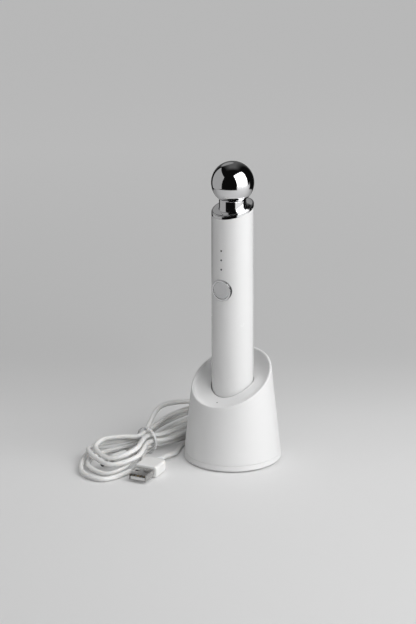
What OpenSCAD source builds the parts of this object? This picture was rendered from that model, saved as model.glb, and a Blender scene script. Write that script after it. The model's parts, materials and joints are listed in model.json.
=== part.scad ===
// Heated massager wand standing in its charging stand, with its charging lead
// coiled and tied on the table beside it. All sizes are in millimetres.
// Origin: centre of the stand's foot on the table, +Z up, -Y to the front,
// where the button, the lights and the low side of the stand's rim face.

/* [Overall] */
// height from the table to the top of the massage ball
total_h = 199; // [180:1:240]
// outside diameter of the stand at the table
stand_d = 64; // [60:1:76]
// outside diameter of the wand's barrel
wand_d = 27; // [24:0.5:30]

/* [Wand] */
// height at which the wand's end cap comes to rest in the stand
seat_z = 14; // [12:0.5:18]
// wall of the barrel
barrel_wall = 1.6; // [1.2:0.1:2.2]
// from the barrel's slanted top, on the axis, up to the top of the ball
head_h = 31.8; // [28:0.1:36]
// slope of the barrel's top and of the chrome collar, in degrees
head_tilt = 14.5; // [0:0.5:25]
// turn of that slope's lowest side away from the button, in degrees
head_turn = 22; // [0:1:45]
// height of the chrome band between the barrel and the collar's edge
band_h = 2.2; // [1.5:0.1:6]
// radius that rounds the collar's edge
collar_lip = 0.5; // [0.3:0.1:1.4]
// how far the collar's face rises from its edge to the neck
collar_rise = 0.5; // [0.2:0.1:1]
// diameter of the neck under the ball
neck_d = 17.4; // [14:0.1:19]
// diameter of the massage ball
ball_d = 27.4; // [24:0.2:32]
// thickness of the ball's steel shell
ball_wall = 1.2; // [0.8:0.1:2]
// bore of the neck, which the ball's stub slides into
neck_bore = 13; // [11:0.5:14]
// clearance of parts that are slipped together, on the radius
slip = 0.05; // [0.03:0.01:0.1]

/* [Button and lights] */
// from the barrel's slanted top, on the axis, down to the button's centre
button_drop = 50.1; // [40:0.1:60]
// outside diameter of the button's chrome ring
ring_d = 14; // [12:0.5:16]
// width of the ring's face
ring_face = 1.3; // [1:0.1:2]
// how far the ring stands in front of the barrel's front line
ring_proud = 0.3; // [0.1:0.05:0.8]
// travel of the button
button_travel = 0.4; // [0.2:0.05:0.8]
// running clearance of the button cap in its ring, on the radius
button_gap = 0.08; // [0.04:0.01:0.1]
// number of indicator lights above the button
light_count = 3; // [1:1:4]
// distance between two lights
light_step = 6.2; // [4:0.1:7]
// from the button's centre up to the lowest light
light_rise = 13.9; // [11:0.1:18]
// diameter of a light pipe
light_d = 1.2; // [0.8:0.1:2]

/* [Inside the wand] */
// diameter of the battery cell
cell_d = 14.2; // [12:0.1:15]
// length of the battery cell
cell_l = 48.5; // [36:0.5:52]
// diameter of the vibration motor
motor_d = 10; // [8:0.5:11]
// length of the vibration motor
motor_l = 12; // [10:0.5:14]
// diameter of the heating core that fills the neck
core_d = 9.6; // [8:0.2:10]

/* [Stand] */
// height of the rim's slanted plane on the axis
rim_h = 56; // [50:1:64]
// slope of the rim, in degrees
rim_tilt = 26.3; // [10:0.1:30]
// how much the stand narrows for each millimetre of height, on the radius
stand_taper = 0.108; // [0.05:0.001:0.14]
// radius that rounds the stand's thin rim
rim_lip = 0.85; // [0.5:0.05:1.2]
// wall of the stand's shell
stand_wall = 2.2; // [1.6:0.1:3]
// clearance of the wand in its socket, on the radius
socket_gap = 0.6; // [0.4:0.05:1]
// height of the line between the shell and the base
part_line = 4.7; // [4.5:0.1:9]
// width of the groove along that line
line_gap = 0.3; // [0.2:0.05:0.5]
// distance of the screw posts from the axis
post_r = 22.4; // [21:0.1:24]
// height of the rubber foot ring
foot_h = 1.4; // [1:0.1:2]
// how far a charging pin travels
pin_travel = 0.8; // [0.4:0.1:1]
// distance of each charging pin from the axis
pin_x = 4; // [3:0.1:5]
// diameter of a charging pin
pin_d = 1.8; // [1.4:0.1:2]
// running clearance of a charging pin, on the radius
pin_gap = 0.06; // [0.04:0.01:0.1]

/* [Charging lead] */
// diameter of the cable
cable_d = 3.2; // [2.8:0.1:3.6]
// number of loops in the hank
loops = 4; // [4:1:4]
// turn of the lead's own axes about the stand, in degrees
lead_turn = 33; // [33:1:33]
// width of the plug's steel shell
usb_w = 12; // [12:0.1:12]
// height of the plug's steel shell
usb_h = 4.5; // [4.5:0.1:4.5]
// length of shell that shows in front of the grip
usb_shown = 12; // [11:0.5:13]
// diameter of the round plug's barrel
jack_d = 3.5; // [3.5:0.1:3.5]

/* [Hidden] */
$fn = 96;
eps = 0.01;
far = 400;

// wand
wand_r = wand_d/2;
tube_r = wand_r - barrel_wall;
head_z = total_h - head_h;
band_z = head_z + band_h;
ball_z = total_h - ball_d/2;
ball_cut = ball_z - sqrt(ball_d*ball_d - neck_d*neck_d)/2;
cap_flange = 2;
cap_top = seat_z + cap_flange + 4;
tray_r = tube_r - 0.3;
tray_in = tray_r - 1.4;
tray_y = 0.55*tray_r;
tray_z0 = cap_top + 2;
spigot_z = head_z - 17.6;
tray_z1 = spigot_z - 0.5;
cell_z = tray_z0 + 6;
cell_y = 1.2;
board_t = 1;
board_x = 0.78*tray_r;
board_front = tray_y + board_t;

// button and lights
button_z = head_z - button_drop;
ring_front = wand_r + ring_proud;
ring_back = wand_r - 3.3;
ring_step = ring_front - 1.35;
cap_r = ring_d/2 - ring_face - button_gap;
cap_flange_r = cap_r + 0.5;
cap_back = ring_step - 0.95;
stem_tip = cap_back - button_travel - 0.1;
light_z0 = button_z + light_rise;

// head
motor_z = spigot_z - 2 - motor_l;
motor_y = 0.5;
insulator_z = head_z - 11.6;
core_z = head_z - 3.6;

// stand
socket_r = wand_r + socket_gap;
socket_out = socket_r + 1.6;
floor_z = seat_z - 3;
pin_z = floor_z - 1.2;
pad_z = seat_z + 0.8;
base_z = 0.8;
lip_z = part_line + 2;
post_z = lip_z + 0.5;
slab_z = 2.8;
board_z = 7.8;
guide_y = 18.4;
jack_z = board_z + board_t + 4;
jack_y = stand_r(jack_z) - stand_wall - 1.2;
function stand_r(z) = stand_d/2 - 0.1 - stand_taper*z;

// rim radius of the cut cone at angle a, where its slanted plane meets it
function cone_rim(z0, tilt, a) =
  stand_r(z0)/(1 + stand_taper*tan(tilt)*sin(a));
// depth of the stand's dish below the rim's plane at the wand, all round
function dish_depth(a) = 3.76 + 2.82*sin(a) + 3.36*sin(a)*sin(a);

// One ring of the slanted cutter at angle a, from outside to the axis:
// a ledge outside the wall, the lip rounded through sweep degrees, then
// the face, which is depth below the rim's plane at the inner end.
function cutter_line(a, rim, z0, tilt, lip, sweep, depth, inner, arc,
    steps) =
  let (slope = tan(tilt)*sin(a),
       edge = z0 + slope*rim - lip,
       start = rim - lip + lip*cos(sweep),
       drop = lip - lip*sin(sweep))
  concat(
    [[rim + 4, edge]],
    [for (k = [0:arc])
      let (b = sweep*k/arc)
      [rim - lip + lip*cos(b) + (k == 0 ? 0.04 : 0), edge + lip*sin(b)]],
    [for (k = [1:steps])
      let (s = 1 - pow(k/steps, 1.6), r = inner + (start - inner)*s)
      [r, z0 + slope*r - drop - (depth - drop)*sqrt(1 - pow(s, 4))]]);

// All of the cutter's points, ring by ring, then the axis and the top ring.
module slanted_cutter(rims, z0, tilt, lip, sweep, depths, inner, top, arc,
    steps) {
  n = len(rims);
  lines = [for (i = [0:n-1])
    cutter_line(360*i/n, rims[i], z0, tilt, lip, sweep, depths[i],
      inner, arc, steps)];
  m = len(lines[0]);
  pts = concat(
    [for (j = [0:m-1]) for (i = [0:n-1])
      [lines[i][j][0]*cos(360*i/n), lines[i][j][0]*sin(360*i/n),
       lines[i][j][1]]],
    [for (i = [0:n-1])
      [lines[i][0][0]*cos(360*i/n), lines[i][0][0]*sin(360*i/n), top]],
    [[0, 0, lines[0][m-1][1]],
     [0, 0, top]]);
  low = m*n + n;
  faces = concat(
    [for (j = [0:m-2]) for (i = [0:n-1])
      let (k = (i + 1)%n) [j*n + i, j*n + k, (j + 1)*n + k]],
    [for (j = [0:m-2]) for (i = [0:n-1])
      let (k = (i + 1)%n) [j*n + i, (j + 1)*n + k, (j + 1)*n + i]],
    [for (i = [0:n-1])
      let (k = (i + 1)%n) [(m - 1)*n + i, (m - 1)*n + k, low]],
    [for (i = [0:n-1])
      let (k = (i + 1)%n) [i, m*n + i, k]],
    [for (i = [0:n-1])
      let (k = (i + 1)%n) [k, m*n + i, m*n + k]],
    [for (i = [0:n-1])
      let (k = (i + 1)%n) [m*n + i, low + 1, m*n + k]]);
  polyhedron(pts, faces, convexity = 6);
}

// Everything above a plane that rises to the back by tilt degrees.
module above_plane(z0, tilt) {
  translate([0, 0, z0])
    rotate([tilt, 0, 0])
      translate([-far/2, -far/2, 0])
        cube([far, far, far]);
}

// Cylinder along Y from y0 to y1, y0 < y1.
module along_y(r, y0, y1, z = 0, x = 0) {
  translate([x, y0, z])
    rotate([-90, 0, 0])
      cylinder(r = r, h = y1 - y0);
}

// Flat rectangle with round corners.
module round_rect(w, h, r) {
  square([w - 2*r, h], center = true);
  square([w, h - 2*r], center = true);
  for (x = [-1, 1])
    for (y = [-1, 1])
      translate([x*(w/2 - r), y*(h/2 - r)])
        circle(r = r, $fn = 32);
}

// ---------------------------------------------------------------- wand

module barrel() {
  color([0.93, 0.93, 0.93])
    difference() {
      translate([0, 0, seat_z + cap_flange])
        cylinder(r = wand_r, h = head_z + wand_r);
      translate([0, 0, seat_z])
        cylinder(r = tube_r, h = far);
      rotate([0, 0, -head_turn])
        above_plane(head_z, head_tilt);
      along_y(ring_d/2 + slip, -far, 0, button_z);
      for (i = [0:light_count-1])
        along_y(light_d/2 + slip, -far, 0, light_z0 + i*light_step);
    }
}

module end_cap() {
  color([0.9, 0.9, 0.9])
    difference() {
      rotate_extrude()
        polygon([[0, seat_z], [wand_r - 1.2, seat_z],
          [wand_r - 0.35, seat_z + 0.35], [wand_r, seat_z + 1.2],
          [wand_r, seat_z + cap_flange], [tube_r - slip, seat_z + cap_flange],
          [tube_r - slip, cap_top], [0, cap_top]]);
      for (s = [-1, 1])
        translate([s*pin_x, 0, seat_z - 1])
          cylinder(r = 1.6 + slip, h = 20, $fn = 48);
      translate([0, 0, seat_z + cap_flange + 1])
        difference() {
          cylinder(r = tube_r - 1.6, h = 20);
          translate([-pin_x - 3, -3.5, -1])
            cube([2*pin_x + 6, 7, 22]);
        }
    }
}

module head_collar() {
  rims = [for (i = [0:71]) wand_r];
  depths = [for (i = [0:71]) -collar_rise];
  color([0.8, 0.8, 0.82])
    difference() {
      union() {
        difference() {
          translate([0, 0, spigot_z])
            cylinder(r = wand_r, h = band_z + wand_r - spigot_z);
          rotate([0, 0, -head_turn])
            slanted_cutter(rims, band_z, head_tilt, collar_lip, 90, depths,
              neck_d/2 + 0.3, total_h + 20, 4, 5);
          difference() {
            translate([0, 0, spigot_z - 1])
              cylinder(r = wand_r + 1, h = far);
            rotate([0, 0, -head_turn])
              above_plane(head_z, head_tilt);
            cylinder(r = tube_r - slip, h = far);
          }
        }
        translate([0, 0, head_z - 4])
          cylinder(r = neck_d/2, h = ball_cut - head_z + 4);
      }
      cylinder(r = neck_bore/2, h = far);
      cylinder(r = tube_r - 1.8, h = insulator_z + 2);
    }
}

module massage_ball() {
  color([0.8, 0.8, 0.82])
    difference() {
      union() {
        difference() {
          translate([0, 0, ball_z])
            sphere(d = ball_d, $fn = 128);
          cylinder(r = far, h = ball_cut);
        }
        translate([0, 0, ball_cut - 5])
          cylinder(r = neck_bore/2 - slip, h = 8);
      }
      difference() {
        translate([0, 0, ball_z])
          sphere(d = ball_d - 2*ball_wall, $fn = 96);
        cylinder(r = far, h = ball_cut + 1.4);
      }
      cylinder(r = core_d/2 + slip, h = ball_z);
    }
}

module heating_core() {
  color([0.75, 0.76, 0.78])
    difference() {
      translate([0, 0, core_z])
        cylinder(d = core_d, h = ball_z - core_z);
      translate([2.4, 0, ball_z - 6])
        cylinder(r = 1.2, h = 10, $fn = 32);
      translate([-core_d, 0, ball_z - 1.5])
        cube([0.6*core_d, 0.1, 3]);
    }
}

module heater_plate() {
  color([0.92, 0.9, 0.86])
    translate([0, 0, ball_z])
      difference() {
        cylinder(r = 6.2, h = 1.8);
        translate([2.4, 0, -1])
          cylinder(r = 1.2, h = 4, $fn = 32);
      }
}

module temperature_sensor() {
  color([0.1, 0.1, 0.1])
    translate([2.4, 0, ball_z - 4.5])
      cylinder(r = 1.2 - slip, h = 5.5, $fn = 32);
}

module head_insulator() {
  color([0.85, 0.84, 0.8])
    difference() {
      union() {
        translate([0, 0, insulator_z])
          cylinder(r = tube_r - 1.8 - slip, h = 2);
        translate([0, 0, insulator_z])
          cylinder(r = neck_bore/2 - slip, h = core_z - insulator_z);
      }
      translate([0, 0, insulator_z - 1])
        cylinder(r = 2, h = 30, $fn = 48);
    }
}

// Half tube that carries the board on its two front edges, with a wall
// across it at each end of the cell.
module chassis() {
  color([0.25, 0.26, 0.28])
    difference() {
      union() {
        difference() {
          translate([0, 0, tray_z0])
            cylinder(r = tray_r, h = tray_z1 - tray_z0);
          translate([0, 0, tray_z0 - 1])
            cylinder(r = tray_in, h = far);
        }
        for (z = [cell_z - 1.5, cell_z + cell_l])
          translate([0, 0, z])
            cylinder(r = tray_in + 0.2, h = 1.5);
      }
      translate([-far/2, -far - tray_y, 0])
        cube([far, far, far]);
      translate([0, 0, tray_z0 - 1])
        cylinder(r = 2.5, h = far, $fn = 48);
    }
}

module battery() {
  color([0.2, 0.35, 0.6])
    translate([0, cell_y, cell_z])
      difference() {
        cylinder(d = cell_d, h = cell_l);
        translate([0, 0, cell_l - 0.6])
          difference() {
            cylinder(d = cell_d + 1, h = 2);
            cylinder(d = 0.42*cell_d, h = 2);
          }
      }
}

module main_board() {
  color([0.1, 0.35, 0.2])
    difference() {
      translate([-board_x, -board_front, button_z - 30])
        cube([2*board_x, board_t, tray_z1 - button_z + 30]);
      along_y(1.2, -far, 0, button_z - 24);
    }
}

module tact_switch() {
  color([0.15, 0.15, 0.16]) {
    translate([-3, -board_front - 1.9, button_z - 3])
      cube([6, 1.9, 6]);
    along_y(1.7, -stem_tip, -board_front - 1, button_z);
  }
}

module indicator_leds() {
  color([0.9, 0.9, 0.8])
    for (i = [0:light_count-1])
      translate([-0.8, -board_front - 0.8, light_z0 + i*light_step - 0.8])
        cube([1.6, 0.8, 1.6]);
}

module light_pipes() {
  color([0.2, 0.2, 0.21])
    for (i = [0:light_count-1])
      along_y(light_d/2, -wand_r + 0.15, -board_front - 0.8,
        light_z0 + i*light_step);
}

module button_ring() {
  color([0.75, 0.75, 0.78])
    translate([0, 0, button_z])
      rotate([90, 0, 0])
        rotate_extrude()
          polygon([[ring_d/2, ring_back], [ring_d/2, ring_front - 0.15],
            [ring_d/2 - 0.15, ring_front],
            [ring_d/2 - ring_face + 0.15, ring_front],
            [ring_d/2 - ring_face, ring_front - 0.15],
            [ring_d/2 - ring_face, ring_step],
            [cap_flange_r + button_gap, ring_step],
            [cap_flange_r + button_gap, ring_back]]);
}

module button_cap() {
  color([0.85, 0.85, 0.86])
    translate([0, 0, button_z])
      rotate([90, 0, 0])
        rotate_extrude()
          polygon([[0, cap_back], [cap_flange_r, cap_back],
            [cap_flange_r, ring_step - 0.2], [cap_r, ring_step - 0.2],
            [cap_r, ring_front - 0.35], [cap_r - 0.15, ring_front - 0.08],
            [cap_r - 0.5, ring_front + 0.1], [cap_r - 1.6, ring_front + 0.2],
            [0, ring_front + 0.25]]);
}

module motor() {
  color([0.7, 0.7, 0.72])
    translate([0, motor_y, motor_z]) {
      cylinder(d = motor_d, h = motor_l);
      cylinder(r = 2, h = motor_l + 0.8, $fn = 48);
      cylinder(r = 0.5, h = motor_l + 6.2, $fn = 32);
    }
}

module motor_holder() {
  color([0.3, 0.31, 0.33])
    difference() {
      translate([0, 0, motor_z + 1])
        cylinder(r = tray_in - slip, h = motor_l - 2);
      translate([0, motor_y, 0])
        cylinder(r = motor_d/2 + slip, h = far);
      translate([-far/2, -far - tray_y + 0.2, 0])
        cube([far, far, far]);
    }
}

module motor_weight() {
  color([0.55, 0.55, 0.58])
    translate([0, motor_y, motor_z + motor_l + 1.3])
      difference() {
        union() {
          intersection() {
            cylinder(r = 4.6, h = 4.4, $fn = 64);
            translate([-10, 0, -1])
              cube([20, 20, 8]);
          }
          cylinder(r = 1.5, h = 4.4, $fn = 48);
        }
        translate([0, 0, -1])
          cylinder(r = 0.5 + slip, h = 8, $fn = 32);
      }
}

module charge_board() {
  color([0.1, 0.35, 0.2])
    translate([0, 0, cap_top])
      difference() {
        cylinder(r = tube_r - 0.6, h = 1.2);
        translate([0, 6, -1])
          cylinder(r = 1.5, h = 4, $fn = 32);
      }
}

module charge_pads() {
  color([0.85, 0.68, 0.3])
    for (s = [-1, 1])
      translate([s*pin_x, 0, pad_z])
        cylinder(r = 1.6, h = cap_top - pad_z, $fn = 48);
}

// --------------------------------------------------------------- stand

// The stand's outside before its top is cut, from z0 up.
module stand_cone(z0, inset) {
  translate([0, 0, z0])
    cylinder(r1 = stand_r(z0) - inset, r2 = stand_r(total_h/2) - inset,
      h = total_h/2 - z0);
}

// Cutter for the dish, its face lowered by drop, with a coarser copy
// for the underside of the dish.
module dish_cutter(drop, count, arc, steps) {
  rims = [for (i = [0:count-1]) cone_rim(rim_h, rim_tilt, 360*i/count)];
  depths = [for (i = [0:count-1]) dish_depth(360*i/count)];
  translate([0, 0, -drop])
    slanted_cutter(rims, rim_h, rim_tilt, rim_lip, 180, depths,
      socket_r - 0.4, total_h, arc, steps);
}

module stand_shell() {
  color([0.93, 0.93, 0.93])
    difference() {
      stand_cone(part_line + line_gap/2, 0);
      dish_cutter(0, 72, 8, 9);
      difference() {
        stand_cone(part_line - 1, stand_wall);
        dish_cutter(stand_wall, 36, 2, 3);
        translate([0, 0, floor_z])
          cylinder(r = socket_out, h = far);
        for (a = [30, 150, 270])
          rotate([0, 0, a])
            translate([post_r, 0, post_z])
              cylinder(r = 3, h = far, $fn = 48);
      }
      translate([0, 0, seat_z - 0.3])
        cylinder(r = socket_r, h = far);
      for (s = [-1, 1])
        translate([s*pin_x, 0, 0])
          cylinder(r = pin_d/2 + 0.3, h = far, $fn = 48);
      for (a = [30, 150, 270])
        rotate([0, 0, a])
          translate([post_r, 0, 0])
            cylinder(r = 1.1, h = post_z + 7, $fn = 32);
      along_y(4.1, 0, far, jack_z);
      translate([0, -guide_y, 0])
        cylinder(r = 0.75, h = far, $fn = 32);
    }
}

module stand_base() {
  color([0.9, 0.9, 0.9])
    difference() {
      union() {
        difference() {
          rotate_extrude()
            polygon([[0, base_z], [stand_r(base_z) - 0.7, base_z],
              [stand_r(base_z) - 0.2, base_z + 0.2],
              [stand_r(base_z), base_z + 0.7],
              [stand_r(part_line), part_line - line_gap/2],
              [stand_r(part_line) - 1.1, part_line - line_gap/2],
              [stand_r(part_line) - 1.1, part_line + line_gap/2],
              [stand_r(lip_z) - stand_wall - 0.15, part_line + line_gap/2],
              [stand_r(lip_z) - stand_wall - 0.15, lip_z],
              [stand_r(lip_z) - stand_wall - 1.4, lip_z],
              [0, lip_z]]);
          translate([0, 0, slab_z])
            cylinder(r = stand_r(lip_z) - stand_wall - 1.4, h = 20);
        }
        for (a = [30, 150, 270])
          rotate([0, 0, a])
            translate([post_r, 0, base_z])
              cylinder(r = 3.1, h = post_z - base_z, $fn = 48);
      }
      for (a = [30, 150, 270])
        rotate([0, 0, a])
          translate([post_r, 0, 0]) {
            cylinder(r = 1.25, h = 20, $fn = 32);
            cylinder(r = 2.5, h = 3.2, $fn = 48);
          }
      difference() {
        cylinder(r = stand_d/2 - 2.5, h = foot_h);
        translate([0, 0, -1])
          cylinder(r = stand_d/2 - 5.5, h = 5);
      }
    }
}

module foot_ring() {
  color([0.6, 0.6, 0.6])
    difference() {
      cylinder(r = stand_d/2 - 2.5 - slip, h = foot_h);
      translate([0, 0, -1])
        cylinder(r = stand_d/2 - 5.5 + slip, h = 5);
    }
}

module ballast_weight() {
  color([0.5, 0.5, 0.52])
    difference() {
      translate([0, 0, slab_z])
        cylinder(r = stand_r(lip_z) - stand_wall - 2.2,
          h = board_z - slab_z);
      translate([0, 0, slab_z - 1])
        cylinder(r = 13, h = 20);
      for (a = [30, 150, 270])
        rotate([0, 0, a])
          translate([post_r, 0, 0])
            cylinder(r = 3.4, h = 20, $fn = 48);
    }
}

module stand_screws() {
  color([0.6, 0.6, 0.62])
    for (a = [30, 150, 270])
      rotate([0, 0, a])
        translate([post_r, 0, 0])
          difference() {
            union() {
              translate([0, 0, 1.6])
                cylinder(r = 2.2, h = 1.6, $fn = 32);
              translate([0, 0, 2])
                cylinder(r = 1, h = post_z + 4, $fn = 32);
            }
            translate([0, 0, 1])
              cylinder(r = 1, h = 1.4, $fn = 6);
          }
}

module stand_board() {
  color([0.1, 0.35, 0.2])
    translate([0, 0, board_z])
      difference() {
        union() {
          cylinder(r = post_r - 3.4, h = board_t);
          translate([-6, 0, 0])
            cube([12, jack_y - 1.2, board_t]);
        }
        translate([0, -guide_y, -1])
          cylinder(r = 0.3, h = 4, $fn = 24);
      }
}

module contact_block() {
  color([0.2, 0.2, 0.22])
    difference() {
      translate([0, 0, board_z + board_t])
        linear_extrude(floor_z - board_z - board_t)
          round_rect(2*pin_x + 6, 7, 1.5);
      for (s = [-1, 1])
        translate([s*pin_x, 0, 0])
          cylinder(r = pin_d/2 + pin_gap, h = far, $fn = 48);
    }
}

module contact_pin(s) {
  color([0.85, 0.68, 0.3])
    translate([s*pin_x, 0, 0]) {
      translate([0, 0, pin_z])
        cylinder(r = pin_d/2, h = pad_z - 0.6 - pin_z, $fn = 48);
      translate([0, 0, pad_z - 0.6])
        cylinder(r1 = pin_d/2, r2 = pin_d/2 - 0.3, h = 0.3, $fn = 48);
    }
}

module contact_pin_left() {
  contact_pin(-1);
}

module contact_pin_right() {
  contact_pin(1);
}

module inlet_jack() {
  color([0.08, 0.08, 0.09])
    difference() {
      union() {
        translate([-4.5, socket_out + 0.3, board_z + board_t])
          cube([9, jack_y - socket_out - 0.3, 8]);
        along_y(3.8, jack_y - 1, stand_r(jack_z) - 0.6, jack_z);
      }
      along_y(jack_d/2 + 0.2, jack_y - 8, far, jack_z);
    }
}

module inlet_pin() {
  color([0.85, 0.68, 0.3])
    along_y(0.6, jack_y - 8, jack_y + 1, jack_z);
}

module stand_light_guide() {
  color([0.4, 0.4, 0.42])
    translate([0, -guide_y, board_z + board_t])
      cylinder(r = 0.7, h = 42.3 - board_z - board_t, $fn = 32);
}

// ---------------------------------------------------------------- lead

// The lead's own axes: u to the right, v away from the eye, both level.
module lead_axes() {
  rotate([0, 0, lead_turn])
    children();
}

// Line of the square plug: its mouth, and the way back along the plug.
usb_mouth = [-61, -48.1];
usb_back = 65.1;
usb_mid = 3.95;
usb_grip_l = 17.5;
usb_relief_l = 6.5;
module usb_axes() {
  lead_axes()
    translate([usb_mouth[0], usb_mouth[1], usb_mid])
      rotate([0, 0, usb_back])
        children();
}

// Line of the round plug: the end of its barrel, and the way back.
plug_end = [-84.3, -25];
plug_back = 45;
plug_mid = 4;
plug_shown = 8.5;
plug_grip_l = 14;
plug_relief_l = 6.5;
module plug_axes() {
  lead_axes()
    translate([plug_end[0], plug_end[1], plug_mid])
      rotate([0, 0, plug_back])
        children();
}

// Middle line of the cable in the lead's axes. It leaves the round plug,
// runs through the tie to the back of the stand, lies in a hank of long
// loops with twelve points each, all of them drawn in at the tie, and
// comes down in front of them and round the stand to the square plug.
// The first and the last point lie inside the two plugs.
lead_points = [
  [-65.9, -6.6, 4], [-63.8, -4.5, 4], [-61.8, -1, 5.6], [-57.6, 3.7, 8.3],
  [-48.9, 13.1, 6.8], [-38.8, 25.3, 4.2], [-31.8, 46.3, 2.2],
  [-22, 63.1, 1.65], [-9.7, 63, 2.6], [-5.8, 48.7, 2.1], [-40.1, 17.2, 2.9],
  [-56.6, 2.1, 2.3], [-60.5, -23, 1.65], [-81.8, -45.6, 2],
  [-97.2, -32.3, 2.3], [-93, -1.5, 3.1], [-74.5, 5.7, 1.65],
  [-59.4, 6.4, 3.2], [-44.3, 30.6, 5.7], [-24.7, 56.2, 5.7],
  [-11.5, 54.6, 7.1], [-12, 41.6, 7.4], [-37.2, 14.2, 5.2],
  [-55.6, 0.6, 6.1], [-64.5, -25.1, 5.8], [-80, -35.9, 1.7],
  [-93.3, -23.9, 3.2], [-87.4, -4.4, 2.8], [-75.1, 0.9, 4.6],
  [-60.6, 8.3, 7.1], [-46.5, 32.3, 9.6], [-23.3, 62.9, 8.2],
  [-8, 61.8, 10.2], [-7, 47, 11.8], [-38.9, 10.2, 8.8], [-54.5, -1.1, 9.7],
  [-61.7, -25.9, 9.4], [-79.3, -33.7, 7.1], [-93.4, -13.1, 8.9],
  [-86.4, -0.3, 8], [-74.7, 1.6, 9.5], [-60.1, 7.5, 11], [-43, 32.2, 14.4],
  [-23.2, 60.3, 11.9], [-9.7, 56.7, 15.1], [-7.9, 41.4, 16.2],
  [-41.9, 12.4, 11.5], [-56, 1.2, 12.9], [-62.9, -23.7, 13.6],
  [-78.2, -29.8, 9.7], [-88.7, -13.8, 10.6], [-83.9, -3.3, 12.8],
  [-72.4, -0.4, 13.4], [-58.3, 4.7, 13.4], [-46.4, 31.9, 22.6],
  [-17.6, 52.9, 18.3], [-3.4, 50.9, 20.9], [2.3, 44, 17.8], [2, 38.6, 12.8],
  [-2.5, 35.6, 7.8], [-9.9, 34.2, 4], [-17, 31, 1.9], [-22.6, 27.2, 1.7],
  [-27.8, 21.9, 1.7], [-33.4, 12.8, 1.7], [-35.2, 5.8, 1.8],
  [-37.1, -0.3, 2], [-40.5, -6.1, 3], [-43.9, -11.3, 3.8], [-45.8, -15.4, 4],
  [-47.1, -18.2, 4]];
hank_from = 8;

// Smooth line through points, with n steps in each span.
function between(a, b, c, d, s) =
  0.5*((2*b) + (c - a)*s + (2*a - 5*b + 4*c - d)*s*s
    + (3*b - a - 3*c + d)*s*s*s);
function smooth(p, n) = concat(
  [for (i = [0:len(p)-2]) for (k = [0:n-1])
    between(p[max(i - 1, 0)], p[i], p[i + 1], p[min(i + 2, len(p) - 1)],
      k/n)],
  [p[len(p) - 1]]);
function unit(v) = v/norm(v);

lead_line = smooth(lead_points, 2);
hank_to = hank_from + 12*loops;
plug_part = [for (i = [2:2*hank_from]) lead_line[i]];
hank_part = [for (i = [2*hank_from:2*hank_to]) lead_line[i]];
usb_part = [for (i = [2*hank_to:len(lead_line)-3]) lead_line[i]];
function heading(i) = unit(lead_line[i + 1] - lead_line[i - 1]);
hank_in = heading(2*hank_from);
hank_out = heading(2*hank_to);

// Least distance between points of the hank's line that are more than
// four diameters apart along it, less one diameter.
hank_dense = smooth([for (i = [hank_from:hank_to]) lead_points[i]], 8);
hank_last = len(hank_dense) - 1;
hank_gap = min([for (i = [0:hank_last - 8]) for (k = [i + 8:hank_last])
  norm(hank_dense[k] - hank_dense[i])]) - cable_d;
echo(hank_least_gap = hank_gap);

// The tie is a round band that stands on the table; its axis lies level.
waist = [-55.7, 5.3];
waist_turn = 45;
tie_r = 8.8;
tie_t = 0.45;
tie_w = 1.8;

// Tube of the given sides along a line of points; the two ends are cut
// square to the directions that are given.
module tube(line, r, sides, first, last, turn) {
  m = len(line);
  tangent = [for (i = [0:m-1])
    i == 0 ? unit(first) : i == m - 1 ? unit(last)
    : unit(unit(line[i + 1] - line[i]) + unit(line[i] - line[i - 1]))];
  pts = [for (i = [0:m-1])
    let (s = unit(cross(tangent[i], [0, 0, 1])), w = cross(s, tangent[i]))
    for (k = [0:sides-1])
      let (a = 360*k/sides + turn) line[i] + r*(cos(a)*s + sin(a)*w)];
  faces = concat(
    [for (i = [0:m-2]) for (k = [0:sides-1])
      let (j = (k + 1)%sides)
      [i*sides + k, i*sides + j, (i + 1)*sides + j]],
    [for (i = [0:m-2]) for (k = [0:sides-1])
      let (j = (k + 1)%sides)
      [i*sides + k, (i + 1)*sides + j, (i + 1)*sides + k]],
    [for (k = [1:sides-2]) [0, k + 1, k]],
    [for (k = [1:sides-2])
      [(m - 1)*sides, (m - 1)*sides + k, (m - 1)*sides + k + 1]]);
  polyhedron(pts, faces, convexity = 10);
}

module cable_hank() {
  color([0.92, 0.92, 0.92])
    lead_axes()
      tube(hank_part, cable_d/2, 6, hank_in, hank_out, 30);
}

module plug_cable_run() {
  back = [cos(plug_back), sin(plug_back), 0];
  color([0.92, 0.92, 0.92])
    lead_axes()
      tube(plug_part, cable_d/2, 8, back, hank_in, 22.5);
}

module usb_cable_run() {
  back = [cos(usb_back), sin(usb_back), 0];
  color([0.92, 0.92, 0.92])
    lead_axes()
      tube(usb_part, cable_d/2, 8, hank_out, -back, 22.5);
}

// Round band that holds the strands at the waist of the hank.
module cable_tie() {
  color([0.88, 0.88, 0.88])
    lead_axes()
      translate([waist[0], waist[1], tie_r + 0.01])
        rotate([0, 0, waist_turn])
          rotate([0, 90, 0])
            difference() {
              cylinder(h = tie_w, r = tie_r, center = true);
              cylinder(h = tie_w + 1, r = tie_r - tie_t, center = true);
            }
}

module usb_shell() {
  color([0.75, 0.75, 0.74])
    usb_axes()
      difference() {
        rotate([90, 0, 90])
          linear_extrude(usb_shown + 4)
            difference() {
              round_rect(usb_w, usb_h, 0.6);
              round_rect(usb_w - 0.7, usb_h - 0.7, 0.35);
            }
        for (s = [-1, 1])
          translate([5.2, s*3 - 1.25, 0])
            cube([2, 2.5, 5]);
        for (s = [-1, 1])
          translate([5.2, s*3 - 1.25, -5])
            cube([2, 2.5, 5]);
      }
}

module usb_tongue() {
  color([0.9, 0.9, 0.9])
    usb_axes()
      translate([0.6, -usb_w/2 + 0.75, -usb_h/2 + 0.35])
        cube([usb_shown + 3.4, usb_w - 1.5, 1.9]);
}

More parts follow.
